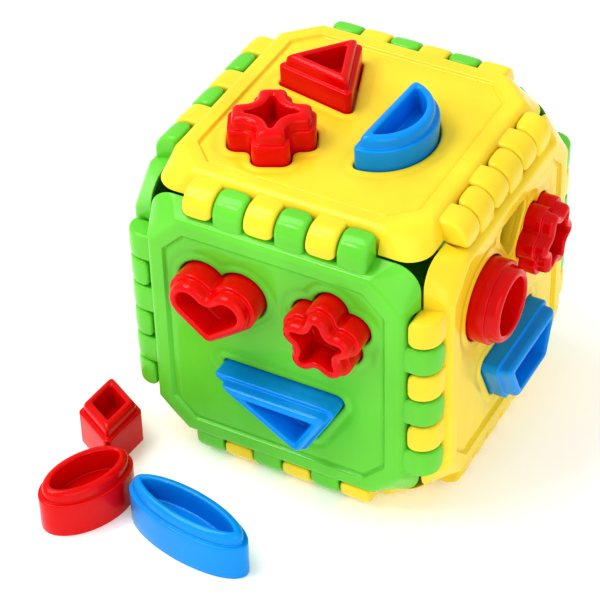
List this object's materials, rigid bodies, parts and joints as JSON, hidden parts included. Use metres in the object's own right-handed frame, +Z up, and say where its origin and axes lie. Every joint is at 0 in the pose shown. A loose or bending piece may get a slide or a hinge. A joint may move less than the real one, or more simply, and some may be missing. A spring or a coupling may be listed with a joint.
{
  "type": "shape sorter",
  "caption": "Cube shape sorter of snap-together lime and yellow plastic panels, with red and blue hollow blocks standing in its holes and more lying beside it.",
  "frame": {"origin": "centre of the bottom of the bounding box of the whole set, on the floor the cube and the loose blocks stand on", "axes": "+Z up; -Y faces the front green panel, +X faces the yellow side panel; the loose blocks lie towards -Y and -X"},
  "size_m": [0.1682, 0.2058, 0.153],
  "materials": {
    "green_plastic": "bright lime green moulded plastic, smooth and glossy",
    "yellow_plastic": "bright yellow moulded plastic, smooth and glossy",
    "red_plastic": "saturated red moulded plastic, smooth and glossy",
    "blue_plastic": "sky blue moulded plastic, smooth and glossy"
  },
  "bodies": {
    "cube": {"panel_front": "green_plastic", "panel_left": "green_plastic", "panel_back": "green_plastic", "panel_right": "yellow_plastic", "panel_bottom": "yellow_plastic"},
    "lid": {"panel_top": "yellow_plastic"},
    "heart_block": {"heart_block": "red_plastic"},
    "flower_block": {"flower_block": "red_plastic"},
    "wedge_block": {"wedge_block": "blue_plastic"},
    "triangle_block": {"triangle_block": "red_plastic"},
    "cross_block": {"cross_block": "red_plastic"},
    "half_disc_block": {"half_disc_block": "blue_plastic"},
    "ring_block": {"ring_block": "red_plastic"},
    "star_block": {"star_block": "red_plastic"},
    "trapezium_block": {"trapezium_block": "blue_plastic"},
    "diamond_block": {"diamond_block": "red_plastic"},
    "oval_block": {"oval_block": "red_plastic"},
    "long_oval_block": {"long_oval_block": "blue_plastic"}
  },
  "joints": [
    {"name": "lid_lift", "type": "slide", "parent": "cube", "child": "lid", "axis": [0, 0, 1], "range_m": [0, 0.12]},
    {"name": "heart_push", "type": "slide", "parent": "cube", "child": "heart_block", "axis": [0, -1, 0], "range_m": [-0.02, 0.025]},
    {"name": "flower_push", "type": "slide", "parent": "cube", "child": "flower_block", "axis": [0, -1, 0], "range_m": [-0.02, 0.025]},
    {"name": "wedge_push", "type": "slide", "parent": "cube", "child": "wedge_block", "axis": [0, -1, 0], "range_m": [-0.02, 0.025]},
    {"name": "triangle_push", "type": "slide", "parent": "lid", "child": "triangle_block", "axis": [0, 0, 1], "range_m": [-0.02, 0.025]},
    {"name": "cross_push", "type": "slide", "parent": "lid", "child": "cross_block", "axis": [0, 0, 1], "range_m": [-0.02, 0.025]},
    {"name": "half_disc_push", "type": "slide", "parent": "lid", "child": "half_disc_block", "axis": [0, 0, 1], "range_m": [-0.02, 0.025]},
    {"name": "ring_push", "type": "slide", "parent": "cube", "child": "ring_block", "axis": [1, 0, 0], "range_m": [-0.02, 0.025]},
    {"name": "star_push", "type": "slide", "parent": "cube", "child": "star_block", "axis": [1, 0, 0], "range_m": [-0.02, 0.025]},
    {"name": "trapezium_push", "type": "slide", "parent": "cube", "child": "trapezium_block", "axis": [1, 0, 0], "range_m": [-0.02, 0.025]},
    {"name": "diamond_slide", "type": "slide", "parent": "cube", "child": "diamond_block", "axis": [-1, 0, 0], "range_m": [0, 0.06]},
    {"name": "oval_slide", "type": "slide", "parent": "cube", "child": "oval_block", "axis": [-0.8, -0.6, 0], "range_m": [0, 0.06]},
    {"name": "long_oval_slide", "type": "slide", "parent": "cube", "child": "long_oval_block", "axis": [0, -1, 0], "range_m": [0, 0.06]}
  ]
}
